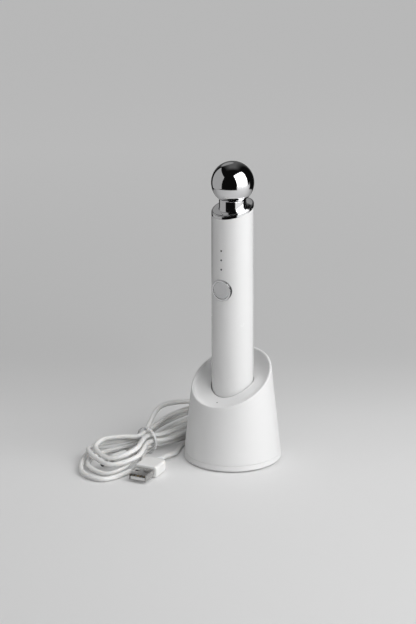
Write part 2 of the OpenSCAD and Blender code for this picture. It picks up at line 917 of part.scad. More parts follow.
module usb_contacts() {
  color([0.85, 0.68, 0.3])
    usb_axes()
      for (y = [-3.5, -1, 1, 3.5])
        translate([1.6, y - 0.5, -usb_h/2 + 2.25])
          cube([8, 1, 0.15]);
}

// Grip of the square plug: a flat moulding whose rear corners draw in.
module usb_grip() {
  w = 15.6;
  h = 7.8;
  l = usb_grip_l;
  color([0.93, 0.93, 0.93])
    usb_axes()
      difference() {
        translate([usb_shown, 0, 0])
          intersection() {
            rotate([90, 0, 90])
              linear_extrude(l)
                round_rect(w, h, 1.4);
            translate([0, 0, -h/2])
              linear_extrude(h)
                polygon([[0, -w/2 + 0.4], [0.4, -w/2], [l - 5, -w/2],
                  [l - 2.2, -w/2 + 1.2], [l - 0.6, -w/2 + 3.2],
                  [l, -w/2 + 5], [l, w/2 - 5], [l - 0.6, w/2 - 3.2],
                  [l - 2.2, w/2 - 1.2], [l - 5, w/2], [0.4, w/2],
                  [0, w/2 - 0.4]]);
            rotate([90, 0, 0])
              translate([0, 0, -w/2])
                linear_extrude(w)
                  polygon([[0, -h/2 + 0.3], [0.3, -h/2], [l - 4, -h/2],
                    [l, -h/2 + 1.4], [l, h/2 - 1.4], [l - 4, h/2],
                    [0.3, h/2], [0, h/2 - 0.3]]);
          }
        rotate([90, 0, 90])
          linear_extrude(usb_shown + 4)
            round_rect(usb_w, usb_h, 0.6);
      }
}

// Tapered strain relief with rings, from x = 0 to x = l.
module relief(l, r0, r1) {
  rotate([0, 90, 0])
    rotate_extrude($fn = 48)
      polygon(concat([[0, 0]],
        [for (k = [0:3])
          for (p = [[r0 + (r1 - r0)*k/4, l*k/4],
              [r0 + (r1 - r0)*(k + 0.6)/4, l*(k + 0.6)/4],
              [r0 + (r1 - r0)*(k + 0.6)/4 - 0.35, l*(k + 0.7)/4],
              [r0 + (r1 - r0)*(k + 0.9)/4 - 0.35, l*(k + 0.95)/4]]) p],
        [[r1, l], [0, l]]));
}

module usb_strain_relief() {
  color([0.9, 0.9, 0.9])
    usb_axes()
      translate([usb_shown + usb_grip_l, 0, 0])
        relief(usb_relief_l, 2.9, 1.9);
}

module plug_barrel() {
  color([0.7, 0.7, 0.7])
    plug_axes()
      rotate([0, 90, 0])
        difference() {
          translate([0, 0, 0.8])
            cylinder(d = jack_d, h = plug_shown + 3 - 0.8);
          cylinder(d = jack_d - 1, h = plug_shown, $fn = 48);
        }
}

module plug_tip() {
  color([0.06, 0.06, 0.06])
    plug_axes()
      rotate([0, 90, 0])
        difference() {
          union() {
            cylinder(d = jack_d, h = 0.8);
            cylinder(d = jack_d - 1 - 2*slip, h = plug_shown, $fn = 48);
          }
          translate([0, 0, -1])
            cylinder(d = 1.3, h = 9, $fn = 32);
        }
}

module plug_grip() {
  color([0.93, 0.93, 0.93])
    plug_axes()
      translate([plug_shown, 0, 0])
        rotate([0, 90, 0])
          difference() {
            rotate_extrude($fn = 64)
              polygon([[0, 0], [3.3, 0], [3.7, 0.4], [4, 2],
                [4, plug_grip_l - 3.5], [3.8, plug_grip_l - 1.6],
                [3.2, plug_grip_l - 0.3], [2.6, plug_grip_l],
                [0, plug_grip_l]]);
            translate([0, 0, -1])
              cylinder(d = jack_d, h = 4);
          }
}

module plug_strain_relief() {
  color([0.9, 0.9, 0.9])
    plug_axes()
      translate([plug_shown + plug_grip_l, 0, 0])
        relief(plug_relief_l, 2.5, 1.8);
}

barrel();
end_cap();
head_collar();
massage_ball();
heating_core();
heater_plate();
temperature_sensor();
head_insulator();
chassis();
battery();
main_board();
tact_switch();
indicator_leds();
light_pipes();
button_ring();
button_cap();
motor();
motor_holder();
motor_weight();
charge_board();
charge_pads();
stand_shell();
stand_base();
foot_ring();
ballast_weight();
stand_screws();
stand_board();
contact_block();
contact_pin_left();
contact_pin_right();
inlet_jack();
inlet_pin();
stand_light_guide();
usb_shell();
usb_tongue();
usb_contacts();
usb_grip();
usb_strain_relief();
usb_cable_run();
cable_hank();
cable_tie();
plug_cable_run();
plug_strain_relief();
plug_grip();
plug_barrel();
plug_tip();
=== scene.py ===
"""Heated massager wand in its stand, with its lead: looks on the CAD frame."""
import json
import math

import bmesh
import bpy
from mathutils import Matrix, Vector


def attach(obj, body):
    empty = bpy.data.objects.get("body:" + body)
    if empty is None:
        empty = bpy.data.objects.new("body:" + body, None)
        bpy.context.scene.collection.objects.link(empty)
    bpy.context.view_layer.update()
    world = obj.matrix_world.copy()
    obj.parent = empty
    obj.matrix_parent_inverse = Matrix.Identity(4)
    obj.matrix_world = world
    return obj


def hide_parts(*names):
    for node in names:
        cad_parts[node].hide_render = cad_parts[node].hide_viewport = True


MM = 0.001
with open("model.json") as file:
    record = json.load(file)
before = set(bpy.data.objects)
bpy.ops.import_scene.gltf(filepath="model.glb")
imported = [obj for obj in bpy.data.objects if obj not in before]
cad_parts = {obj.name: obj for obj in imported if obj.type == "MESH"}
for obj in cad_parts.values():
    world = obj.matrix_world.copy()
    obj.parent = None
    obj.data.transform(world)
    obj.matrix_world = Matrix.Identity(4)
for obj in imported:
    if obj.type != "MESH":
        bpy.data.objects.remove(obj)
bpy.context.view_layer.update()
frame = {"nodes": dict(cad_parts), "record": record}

# ------------------------------------------------------------ sizes (mm)
TOTAL_H = 199.0
WAND_R = 13.5
SEAT_Z = 14.0
HEAD_Z = 167.2
BAND_Z = HEAD_Z + 2.2
HEAD_TILT = 14.5
HEAD_TURN = 22.0
COLLAR_LIP = 0.5
COLLAR_RISE = 0.5
NECK_R = 8.7
BALL_R = 13.7
BALL_Z = TOTAL_H - BALL_R
BALL_CUT = BALL_Z - math.sqrt(BALL_R ** 2 - NECK_R ** 2)
BUTTON_Z = HEAD_Z - 50.1
RING_R = 7.0
RING_FRONT = WAND_R + 0.3
LIGHTS_Z = [BUTTON_Z + 13.9 + 6.2 * i for i in range(3)]
RIM_H = 56.0
RIM_TILT = 26.3
RIM_LIP = 0.85
SOCKET_R = WAND_R + 0.6
PART_LINE = 4.7
GUIDE_Y = 18.4
JACK_Z = 12.8
LEAD_TURN = 33.0
CABLE_D = 3.2
STAND_R0 = 31.9
STAND_TAPER = 0.108
POST_R = 22.4
JACK_R = 4.1
SCREW_ANGLES = (30, 150, 270)


def stand_r(z):
    """Outer radius of the stand at a height."""
    return STAND_R0 - STAND_TAPER * z


def sind(a):
    return math.sin(math.radians(a))


def cosd(a):
    return math.cos(math.radians(a))


# ---------------------------------------------------------------- camera
AZ, EL, ROLL, DIST, FOCAL = 33.0, 18.94, 0.15, 2.0, 3069.21
BASE_PX, BASE_PY = 232.6, 455.3
VIEW_W, VIEW_H, SENSOR = 416.0, 624.0, 36.0
toward = Vector((sind(AZ) * cosd(EL), -cosd(AZ) * cosd(EL), sind(EL)))
right = Vector((cosd(AZ), sind(AZ), 0.0))
up = toward.cross(right)
if up.z < 0:
    up = -up
right, up = (right * cosd(ROLL) - up * sind(ROLL),
             up * cosd(ROLL) + right * sind(ROLL))
cam_data = bpy.data.cameras.new("camera")
cam_data.lens = FOCAL * SENSOR / VIEW_H
cam_data.sensor_width = SENSOR
cam_data.sensor_fit = "AUTO"
cam_data.clip_start = 0.05
cam_data.clip_end = 50.0
cam_data.dof.use_dof = False
camera = bpy.data.objects.new("camera", cam_data)
bpy.context.collection.objects.link(camera)
cam_pos = (toward * DIST - right * ((BASE_PX - VIEW_W / 2) / FOCAL * DIST)
           + up * ((BASE_PY - VIEW_H / 2) / FOCAL * DIST))
camera.matrix_world = Matrix((
    (right.x, up.x, toward.x, cam_pos.x),
    (right.y, up.y, toward.y, cam_pos.y),
    (right.z, up.z, toward.z, cam_pos.z),
    (0.0, 0.0, 0.0, 1.0)))
bpy.context.scene.camera = camera


# ------------------------------------------------------------- mesh tools
def link_mesh(name, verts, faces, smooth=True, scale=MM):
    mesh = bpy.data.meshes.new(name)
    mesh.from_pydata([tuple(c * scale for c in v) for v in verts], [], faces)
    mesh.validate()
    mesh.update()
    obj = bpy.data.objects.new(name, mesh)
    bpy.context.collection.objects.link(obj)
    if smooth:
        for poly in mesh.polygons:
            poly.use_smooth = True
    return obj


def sharpen(obj, angle=32.0):
    """Smooth shading with sharp edges past an angle, kept in the mesh."""
    bm = bmesh.new()
    bm.from_mesh(obj.data)
    limit = math.radians(angle)
    for edge in bm.edges:
        if len(edge.link_faces) == 2:
            edge.smooth = edge.calc_face_angle(0.0) < limit
    bm.to_mesh(obj.data)
    bm.free()
    return obj


def rings_mesh(name, rings, closed_ends=(False, False), loop=False):
    """Mesh from rings of points, each ring closed on itself."""
    n = len(rings[0])
    verts = [p for ring in rings for p in ring]
    faces = []
    last = len(rings) if loop else len(rings) - 1
    for j in range(last):
        k = (j + 1) % len(rings)
        for i in range(n):
            m = (i + 1) % n
            faces.append((j * n + i, j * n + m, k * n + m, k * n + i))
    if closed_ends[0]:
        faces.append(tuple(range(n - 1, -1, -1)))
    if closed_ends[1]:
        faces.append(tuple((len(rings) - 1) * n + i for i in range(n)))
    return link_mesh(name, verts, faces)


def lathe(name, profile, count=160, axis="z", ends=(False, False)):
    """Surface of revolution of (r, h) points about one axis."""
    rings = []
    for r, h in profile:
        ring = []
        for i in range(count):
            a = 2.0 * math.pi * i / count
            c, s = r * math.cos(a), r * math.sin(a)
            if axis == "z":
                ring.append((c, s, h))
            elif axis == "y":
                ring.append((c, -h, s))
            else:
                ring.append((h, c, s))
        rings.append(ring)
    return rings_mesh(name, rings, ends)


def rounded(profile, radius, steps=5):
    """Rounds the inner corners of an open (r, h) profile."""
    if not isinstance(radius, (list, tuple)):
        radius = [radius] * len(profile)
    out = [profile[0]]
    for i in range(1, len(profile) - 1):
        p0, p1, p2 = (Vector(profile[i - 1]), Vector(profile[i]),
                      Vector(profile[i + 1]))
        r = radius[i]
        a, b = p0 - p1, p2 - p1
        if r <= 0 or a.length < 1e-6 or b.length < 1e-6:
            out.append(tuple(p1))
            continue
        cut = min(r, a.length * 0.49, b.length * 0.49)
        q0, q2 = p1 + a.normalized() * cut, p1 + b.normalized() * cut
        for k in range(steps + 1):
            t = k / steps
            q = q0 * (1 - t) ** 2 + p1 * 2 * t * (1 - t) + q2 * t * t
            out.append(tuple(q))
    out.append(profile[-1])
    return out


def recalc(obj):
    bm = bmesh.new()
    bm.from_mesh(obj.data)
    bmesh.ops.recalc_face_normals(bm, faces=bm.faces)
    bm.to_mesh(obj.data)
    bm.free()
    return obj


def place(obj, matrix):
    """Moves the mesh itself, so that the object stays at the origin."""
    obj.data.transform(matrix)
    obj.data.update()
    return obj


def lead_matrix(u, v, z, turn):
    return (Matrix.Rotation(math.radians(LEAD_TURN), 4, "Z")
            @ Matrix.Translation((u * MM, v * MM, z * MM))
            @ Matrix.Rotation(math.radians(turn), 4, "Z"))


def apply_mods(obj):
    deps = bpy.context.evaluated_depsgraph_get()
    mesh = bpy.data.meshes.new_from_object(obj.evaluated_get(deps))
    old = obj.data
    obj.modifiers.clear()
    obj.data = mesh
    bpy.data.meshes.remove(old)
    return obj


def box_mesh(name, lo, hi):
    x0, y0, z0 = lo
    x1, y1, z1 = hi
    verts = [(x0, y0, z0), (x1, y0, z0), (x1, y1, z0), (x0, y1, z0),
             (x0, y0, z1), (x1, y0, z1), (x1, y1, z1), (x0, y1, z1)]
    faces = [(0, 3, 2, 1), (4, 5, 6, 7), (0, 1, 5, 4), (1, 2, 6, 5),
             (2, 3, 7, 6), (3, 0, 4, 7)]
    return link_mesh(name, verts, faces, smooth=False)


def cut(obj, cutters):
    for c in cutters:
        mod = obj.modifiers.new("cut", "BOOLEAN")
        mod.operation = "DIFFERENCE"
        mod.solver = "EXACT"
        mod.object = c
    apply_mods(obj)
    for c in cutters:
        bpy.data.objects.remove(c)
    return obj


# -------------------------------------------------------------- materials
def new_material(name):
    mat = bpy.data.materials.new(name)
    mat.use_nodes = True
    tree = mat.node_tree
    tree.nodes.clear()
    out = tree.nodes.new("ShaderNodeOutputMaterial")
    bsdf = tree.nodes.new("ShaderNodeBsdfPrincipled")
    tree.links.new(bsdf.outputs[0], out.inputs[0])
    return mat, tree, bsdf


def node(tree, kind, **values):
    n = tree.nodes.new(kind)
    for key, value in values.items():
        if key in n.inputs:
            n.inputs[key].default_value = value
        else:
            setattr(n, key, value)
    return n


def surface_group():
    """Shared fine texture: height, roughness shift and a soft mottle."""
    g = bpy.data.node_groups.new("fine_surface", "ShaderNodeTree")
    face = g.interface
    face.new_socket("Scale", in_out="INPUT", socket_type="NodeSocketFloat")
    face.new_socket("Grain", in_out="INPUT", socket_type="NodeSocketFloat")
    face.new_socket("Height", in_out="OUTPUT", socket_type="NodeSocketFloat")
    face.new_socket("Rough", in_out="OUTPUT", socket_type="NodeSocketFloat")
    face.new_socket("Mottle", in_out="OUTPUT", socket_type="NodeSocketFloat")
    gi = g.nodes.new("NodeGroupInput")
    go = g.nodes.new("NodeGroupOutput")
    co = g.nodes.new("ShaderNodeTexCoord")
    fine = node(g, "ShaderNodeTexNoise", Detail=3.0, Roughness=0.6)
    wide = node(g, "ShaderNodeTexNoise", Scale=22.0, Detail=4.0,
                Roughness=0.55)
    smudge = node(g, "ShaderNodeTexNoise", Scale=60.0, Detail=6.0,
                  Roughness=0.65)
    mul = node(g, "ShaderNodeMath", operation="MULTIPLY")
    rr = node(g, "ShaderNodeMapRange")
    rr.inputs["From Min"].default_value = 0.35
    rr.inputs["From Max"].default_value = 0.7
    g.links.new(co.outputs["Object"], fine.inputs["Vector"])
    g.links.new(co.outputs["Object"], wide.inputs["Vector"])
    g.links.new(co.outputs["Object"], smudge.inputs["Vector"])
    g.links.new(gi.outputs["Scale"], fine.inputs["Scale"])
    g.links.new(fine.outputs["Fac"], mul.inputs[0])
    g.links.new(gi.outputs["Grain"], mul.inputs[1])
    g.links.new(mul.outputs[0], go.inputs["Height"])
    g.links.new(smudge.outputs["Fac"], rr.inputs["Value"])
    g.links.new(rr.outputs["Result"], go.inputs["Rough"])
    g.links.new(wide.outputs["Fac"], go.inputs["Mottle"])
    return g


SURFACE = surface_group()


def finish_material(name, color, rough, rough_span=0.08, grain=0.5,
                    scale=2400.0, bump=0.00002, mottle=0.03, metallic=0.0,
                    coat=0.0, coat_rough=0.1, edge_wear=None, ior=1.47,
                    sub=0.0, sub_radius=0.002, spec=0.5):
    """One moulded or metal finish with fine bump and uneven roughness."""
    mat, tree, bsdf = new_material(name)
    grp = tree.nodes.new("ShaderNodeGroup")
    grp.node_tree = SURFACE
    grp.inputs["Scale"].default_value = scale
    grp.inputs["Grain"].default_value = grain
    rr = node(tree, "ShaderNodeMapRange")
    rr.inputs["To Min"].default_value = rough
    rr.inputs["To Max"].default_value = rough + rough_span
    tree.links.new(grp.outputs["Rough"], rr.inputs["Value"])
    tree.links.new(rr.outputs["Result"], bsdf.inputs["Roughness"])
    mix = node(tree, "ShaderNodeMix", data_type="RGBA", blend_type="MIX")
    mr = node(tree, "ShaderNodeMapRange")
    mr.inputs["From Min"].default_value = 0.3
    mr.inputs["From Max"].default_value = 0.7
    tree.links.new(grp.outputs["Mottle"], mr.inputs["Value"])
    tree.links.new(mr.outputs["Result"], mix.inputs[0])
    dark = [c * (1.0 - mottle) for c in color]
    mix.inputs[6].default_value = (*dark, 1.0)
    mix.inputs[7].default_value = (*color, 1.0)
    last = mix.outputs[2]
    if edge_wear:
        bev = node(tree, "ShaderNodeBevel", samples=4)
        bev.inputs["Radius"].default_value = 0.0006
        geo = tree.nodes.new("ShaderNodeNewGeometry")
        dot = node(tree, "ShaderNodeVectorMath", operation="DOT_PRODUCT")
        tree.links.new(bev.outputs[0], dot.inputs[0])
        tree.links.new(geo.outputs["Normal"], dot.inputs[1])
        em = node(tree, "ShaderNodeMapRange")
        em.inputs["From Min"].default_value = 0.995
        em.inputs["From Max"].default_value = 0.9
        em.inputs["To Max"].default_value = 0.6
        tree.links.new(dot.outputs["Value"], em.inputs["Value"])
        wear = node(tree, "ShaderNodeMix", data_type="RGBA")
        wear.inputs[7].default_value = (*edge_wear, 1.0)
        tree.links.new(em.outputs["Result"], wear.inputs[0])
        tree.links.new(last, wear.inputs[6])
        last = wear.outputs[2]
    tree.links.new(last, bsdf.inputs["Base Color"])
    bmp = node(tree, "ShaderNodeBump")
    bmp.inputs["Strength"].default_value = 1.0
    bmp.inputs["Distance"].default_value = bump
    tree.links.new(grp.outputs["Height"], bmp.inputs["Height"])
    tree.links.new(bmp.outputs[0], bsdf.inputs["Normal"])
    bsdf.inputs["Metallic"].default_value = metallic
    bsdf.inputs["IOR"].default_value = ior
    bsdf.inputs["Specular IOR Level"].default_value = spec
    if coat:
        bsdf.inputs["Coat Weight"].default_value = coat
        bsdf.inputs["Coat Roughness"].default_value = coat_rough
    if sub:
        bsdf.inputs["Subsurface Weight"].default_value = sub
        bsdf.inputs["Subsurface Scale"].default_value = sub_radius
        bsdf.inputs["Subsurface Radius"].default_value = (1.0, 0.9, 0.8)
    return mat


M_BARREL = finish_material("barrel_white", (0.80, 0.80, 0.80), 0.22,
                           rough_span=0.06, grain=0.4, bump=0.000006,
                           coat=0.35, coat_rough=0.12)
M_STAND = finish_material("stand_white", (0.80, 0.80, 0.80), 0.42,
                          rough_span=0.08, grain=0.7, bump=0.00002,
                          scale=3200.0)
M_CHROME = finish_material("bright_chrome", (0.86, 0.86, 0.87), 0.025,
                           rough_span=0.035, grain=0.15, bump=0.000001,
                           mottle=0.015, metallic=1.0)
M_BUTTON = finish_material("button_pale", (0.62, 0.62, 0.63), 0.3,
                           rough_span=0.06, bump=0.000008)
M_LIGHT = finish_material("light_smoke", (0.03, 0.03, 0.032), 0.12,
                          rough_span=0.05, mottle=0.2, coat=0.5)
M_DOT = finish_material("dim_light", (0.42, 0.42, 0.42), 0.2)
M_BLACK = finish_material("black_moulding", (0.018, 0.018, 0.02), 0.38,
                          mottle=0.15)
M_RUBBER = finish_material("foot_rubber", (0.42, 0.42, 0.42), 0.7,
                           grain=1.0, bump=0.00004, scale=1500.0)
M_CABLE = finish_material("cable_vinyl", (0.83, 0.83, 0.82), 0.33,
                          rough_span=0.1, grain=0.6, bump=0.00002,
                          scale=900.0, sub=0.25, sub_radius=0.0015)
M_PLUG = finish_material("plug_vinyl", (0.84, 0.84, 0.83), 0.36,
                         rough_span=0.08, grain=0.6, bump=0.00002,
                         sub=0.2, sub_radius=0.0015)
M_STEEL = finish_material("drawn_steel", (0.62, 0.61, 0.6), 0.24,
                          rough_span=0.14, grain=0.5, bump=0.000006,
                          metallic=1.0, mottle=0.08, scale=1600.0)
M_TURNED = finish_material("turned_steel", (0.5, 0.5, 0.51), 0.3,
                           rough_span=0.12, metallic=1.0, mottle=0.08)
M_ALU = finish_material("turned_aluminium", (0.72, 0.73, 0.75), 0.3,
                        rough_span=0.1, metallic=1.0)
M_GOLD = finish_material("plated_contact", (0.83, 0.6, 0.25), 0.2,
                         rough_span=0.1, metallic=1.0, mottle=0.06)
M_INNER = finish_material("inner_moulding", (0.16, 0.165, 0.175), 0.45,
                          mottle=0.06)
M_BOARD = finish_material("board_lacquer", (0.01, 0.12, 0.05), 0.25,
                          mottle=0.2, coat=0.3)
M_CELL = finish_material("cell_wrap", (0.03, 0.1, 0.28), 0.25, coat=0.3)
M_CERAMIC = finish_material("fired_ceramic", (0.8, 0.77, 0.7), 0.4,
                            mottle=0.06)
M_TIE = finish_material("milky_strap", (0.8, 0.8, 0.8), 0.3,
                        rough_span=0.1, sub=0.3, sub_radius=0.001)
SLOT_MATERIALS = {
    "white_barrel": M_BARREL, "white_stand": M_STAND, "chrome": M_CHROME,
    "button_white": M_BUTTON, "inner_plastic": M_INNER,
    "black_plastic": M_BLACK, "light_clear": M_LIGHT,
    "cell_wrap": M_CELL, "board_green": M_BOARD, "steel": M_TURNED,
    "plug_steel": M_STEEL, "core_aluminium": M_ALU,
    "heater_ceramic": M_CERAMIC, "gold_contact": M_GOLD,
    "foot_rubber": M_RUBBER, "plug_white": M_PLUG, "cable_white": M_CABLE,
    "tie_clear": M_TIE}
slot_of = {s["node"]: s["material_slot"] for s in frame["record"]["subparts"]}
for name, obj in frame["nodes"].items():
    mat = SLOT_MATERIALS[slot_of[name]]
    if obj.data.materials:
        for i in range(len(obj.data.materials)):
            obj.data.materials[i] = mat
    else:
        obj.data.materials.append(mat)


def dress(obj, mat, body, slot, *nodes):
    obj.data.materials.clear()
    obj.data.materials.append(mat)
    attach(obj, body)
    if nodes:
        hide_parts(*nodes)
    return obj


# ------------------------------------------------------- lead: the cords
# middle line of the lead in its own axes, in metres, from inside the round
# plug to inside the square one; the hank's loops take twelve points each
LEAD_POINTS = [
    (-0.0659, -0.0066, 0.004), (-0.0638, -0.0045, 0.004),
    (-0.0618, -0.001, 0.0056), (-0.0576, 0.0037, 0.0083),
    (-0.0489, 0.0131, 0.0068), (-0.0388, 0.0253, 0.0042),
    (-0.0318, 0.0463, 0.0022), (-0.022, 0.0631, 0.00165),
    (-0.0097, 0.063, 0.0026), (-0.0058, 0.0487, 0.0021),
    (-0.0401, 0.0172, 0.0029), (-0.0566, 0.0021, 0.0023),
    (-0.0605, -0.023, 0.00165), (-0.0818, -0.0456, 0.002),
    (-0.0972, -0.0323, 0.0023), (-0.093, -0.0015, 0.0031),
    (-0.0745, 0.0057, 0.00165), (-0.0594, 0.0064, 0.0032),
    (-0.0443, 0.0306, 0.0057), (-0.0247, 0.0562, 0.0057),
    (-0.0115, 0.0546, 0.0071), (-0.012, 0.0416, 0.0074),
    (-0.0372, 0.0142, 0.0052), (-0.0556, 0.0006, 0.0061),
    (-0.0645, -0.0251, 0.0058), (-0.08, -0.0359, 0.0017),
    (-0.0933, -0.0239, 0.0032), (-0.0874, -0.0044, 0.0028),
    (-0.0751, 0.0009, 0.0046), (-0.0606, 0.0083, 0.0071),
    (-0.0465, 0.0323, 0.0096), (-0.0233, 0.0629, 0.0082),
    (-0.008, 0.0618, 0.0102), (-0.007, 0.047, 0.0118),
    (-0.0389, 0.0102, 0.0088), (-0.0545, -0.0011, 0.0097),
    (-0.0617, -0.0259, 0.0094), (-0.0793, -0.0337, 0.0071),
    (-0.0934, -0.0131, 0.0089), (-0.0864, -0.0003, 0.008),
    (-0.0747, 0.0016, 0.0095), (-0.0601, 0.0075, 0.011),
    (-0.043, 0.0322, 0.0144), (-0.0232, 0.0603, 0.0119),
    (-0.0097, 0.0567, 0.0151), (-0.0079, 0.0414, 0.0162),
    (-0.0419, 0.0124, 0.0115), (-0.056, 0.0012, 0.0129),
    (-0.0629, -0.0237, 0.0136), (-0.0782, -0.0298, 0.0097),
    (-0.0887, -0.0138, 0.0106), (-0.0839, -0.0033, 0.0128),
    (-0.0724, -0.0004, 0.0134), (-0.0583, 0.0047, 0.0134),
    (-0.0464, 0.0319, 0.0226), (-0.0176, 0.0529, 0.0183),
    (-0.0034, 0.0509, 0.0209), (0.0023, 0.044, 0.0178),
    (0.002, 0.0386, 0.0128), (-0.0025, 0.0356, 0.0078),
    (-0.0099, 0.0342, 0.004), (-0.017, 0.031, 0.0019),
    (-0.0226, 0.0272, 0.0017), (-0.0278, 0.0219, 0.0017),
    (-0.0334, 0.0128, 0.0017), (-0.0352, 0.0058, 0.0018),
    (-0.0371, -0.0003, 0.002), (-0.0405, -0.0061, 0.003),
    (-0.0439, -0.0113, 0.0038), (-0.0458, -0.0154, 0.004),
    (-0.0471, -0.0182, 0.004)]
WAIST, TIE_TURN, TIE_R, TIE_T = (-55.7, 5.3), 45.0, 8.8, 0.45
PLUG_END, PLUG_BACK, PLUG_MID = (-84.3, -25.0), 45.0, 4.0
USB_MOUTH, USB_BACK, USB_MID = (-61.0, -48.1), 65.1, 3.95


def smooth_line(points, n):
    """Smooth line through the points, without the first and last span."""
    pts = [Vector(p) for p in points]
    out = []
    for i in range(1, len(pts) - 2):
        a, b, c, d = pts[i - 1:i + 3]
        for k in range(n):
            s = k / n
            out.append(0.5 * (2 * b + (c - a) * s
                              + (2 * a - 5 * b + 4 * c - d) * s * s
                              + (3 * b - a - 3 * c + d) * s ** 3))
    out.append(pts[-2])
    return out


lead_rot = Matrix.Rotation(math.radians(LEAD_TURN), 4, "Z")
lead_world = [lead_rot @ p for p in smooth_line(LEAD_POINTS, 7)]


def round_cable(name, points, radius):
    curve = bpy.data.curves.new(name, "CURVE")
    curve.dimensions = "3D"
    spline = curve.splines.new("POLY")
    spline.points.add(len(points) - 1)
    for p, q in zip(spline.points, points):
        p.co = (*q, 1.0)
    curve.bevel_depth = radius
    curve.bevel_resolution = 5
    curve.use_fill_caps = True
    spline.use_smooth = True
    obj = bpy.data.objects.new(name, curve)
    bpy.context.collection.objects.link(obj)
    return obj


lead = round_cable("charging_cable", lead_world, CABLE_D / 2 * MM)
dress(lead, M_CABLE, "stand", "cable_white", "plug_cable_run",
      "cable_hank", "usb_cable_run")


# ------------------------------------------------------------ stand shell
def cone_rim(a):
    return stand_r(RIM_H) / (1 + STAND_TAPER * math.tan(math.radians(RIM_TILT))
                             * math.sin(a))


def dish_depth(a):
    return 3.76 + 2.82 * math.sin(a) + 3.36 * math.sin(a) ** 2


def slanted_rings(count, rim, z0, tilt, lip, sweep, depth, inner, arc,
                  steps, turn=0.0):
    """Rings of a rounded, slanted rim and the face inside it."""
    rings = []
    table = []
    for i in range(count):
        a = 2.0 * math.pi * i / count
        slope = math.tan(math.radians(tilt)) * math.sin(a)
        edge = z0 + slope * rim(a) - lip
        start = rim(a) - lip + lip * cosd(sweep)
        drop = lip - lip * sind(sweep)
        line = []
        for k in range(arc + 1):
            b = math.radians(sweep) * k / arc
            line.append((rim(a) - lip + lip * math.cos(b),
                         edge + lip * math.sin(b)))
        for k in range(1, steps + 1):
            s = 1 - (k / steps) ** 1.6
            r = inner + (start - inner) * s
            line.append((r, z0 + slope * r - drop
                         - (depth(a) - drop) * math.sqrt(1 - s ** 4)))
        table.append((a - math.radians(turn), line))
    for j in range(len(table[0][1])):
        rings.append([(line[j][0] * math.cos(a), line[j][0] * math.sin(a),
                       line[j][1]) for a, line in table])
    return rings


N = 256


def stand_ring(r, z):
    return [(r * math.cos(2 * math.pi * i / N),
             r * math.sin(2 * math.pi * i / N), z) for i in range(N)]


top_rings = slanted_rings(N, cone_rim, RIM_H, RIM_TILT, RIM_LIP, 180.0,
                          dish_depth, SOCKET_R, 12, 30)
z_low = PART_LINE + 0.05
wall_rings = []
for (r_in, dz) in ((2.0, 0.0), (0.22, 0.0), (0.1, 0.04), (0.03, 0.13),
                   (0.0, 0.3), (0.0, 0.6)):
    z = z_low + dz
    wall_rings.append(stand_ring(stand_r(z) - r_in, z))
for j in range(1, 41):
    t = j / 41.0
    ring = []
    for i in range(N):
        a = 2.0 * math.pi * i / N
        z0 = z_low + 0.6
        z1 = top_rings[0][i][2]
        z = z0 + (z1 - z0) * t
        ring.append((stand_r(z) * math.cos(a), stand_r(z) * math.sin(a), z))
    wall_rings.append(ring)
socket_rings = []
for dz in (-0.35, -1.2, -6.0):
    socket_rings.append([(x, y, t[2] + dz) for (x, y, _), t in zip(
        stand_ring(SOCKET_R, 0.0), top_rings[-1])])
for r, z in ((SOCKET_R, 20.0), (SOCKET_R, 13.7), (0.4, 13.7)):
    socket_rings.append(stand_ring(r, z))
shell = rings_mesh("stand_shell_look", wall_rings + top_rings + socket_rings)
shell = recalc(shell)
bore = recalc(lathe("cut_jack", [(JACK_R, -25.0), (JACK_R, -40.0)], 64, "y",
                    (True, True)))
place(bore, Matrix.Translation((0, 0, JACK_Z * MM)))
cut(shell, [bore])
shell = sharpen(shell, 40.0)
dress(shell, M_STAND, "stand", "white_stand", "stand_shell")

# base, with its rounded foot and the lip behind the parting groove
top = PART_LINE - 0.05
base = lathe("stand_base_look", rounded(
    [(0.5, 0.8), (26.4, 0.8), (26.4, 1.4), (29.6, 1.4), (29.6, 0.8),
     (stand_r(0.8) - 0.6, 0.8), (stand_r(1.5), 1.5), (stand_r(2.2), 2.2),
     (stand_r(top - 0.7), top - 0.7), (stand_r(top - 0.35), top - 0.35),
     (stand_r(top), top), (stand_r(top) - 1.2, top),
     (stand_r(top) - 1.2, top + 1.5), (24.0, top + 1.5), (24.0, 2.8),
     (0.5, 2.8)],
    [0, 0.2, 0.2, 0.2, 0.2, 0.5, 0.5, 0, 0, 0, 0.25, 0.1, 0, 0, 0, 0]),
    N, ends=(True, True))
cutters = []
for a in SCREW_ANGLES:
    pit = lathe("cut_screw", [(2.5, -1.0), (2.5, 2.5)], 48,
                ends=(True, True))
    place(pit, Matrix.Translation((POST_R * cosd(a) * MM,
                                   POST_R * sind(a) * MM, 0)))
    cutters.append(recalc(pit))
cut(recalc(base), cutters)
sharpen(base, 40.0)
dress(base, M_STAND, "stand", "white_stand", "stand_base")

foot = lathe("foot_ring_look", rounded(
    [(26.55, 1.4), (26.55, 0.0), (29.45, 0.0), (29.45, 1.4)], 0.35), N)
sharpen(foot, 40.0)
dress(foot, M_RUBBER, "stand", "foot_rubber", "foot_ring")

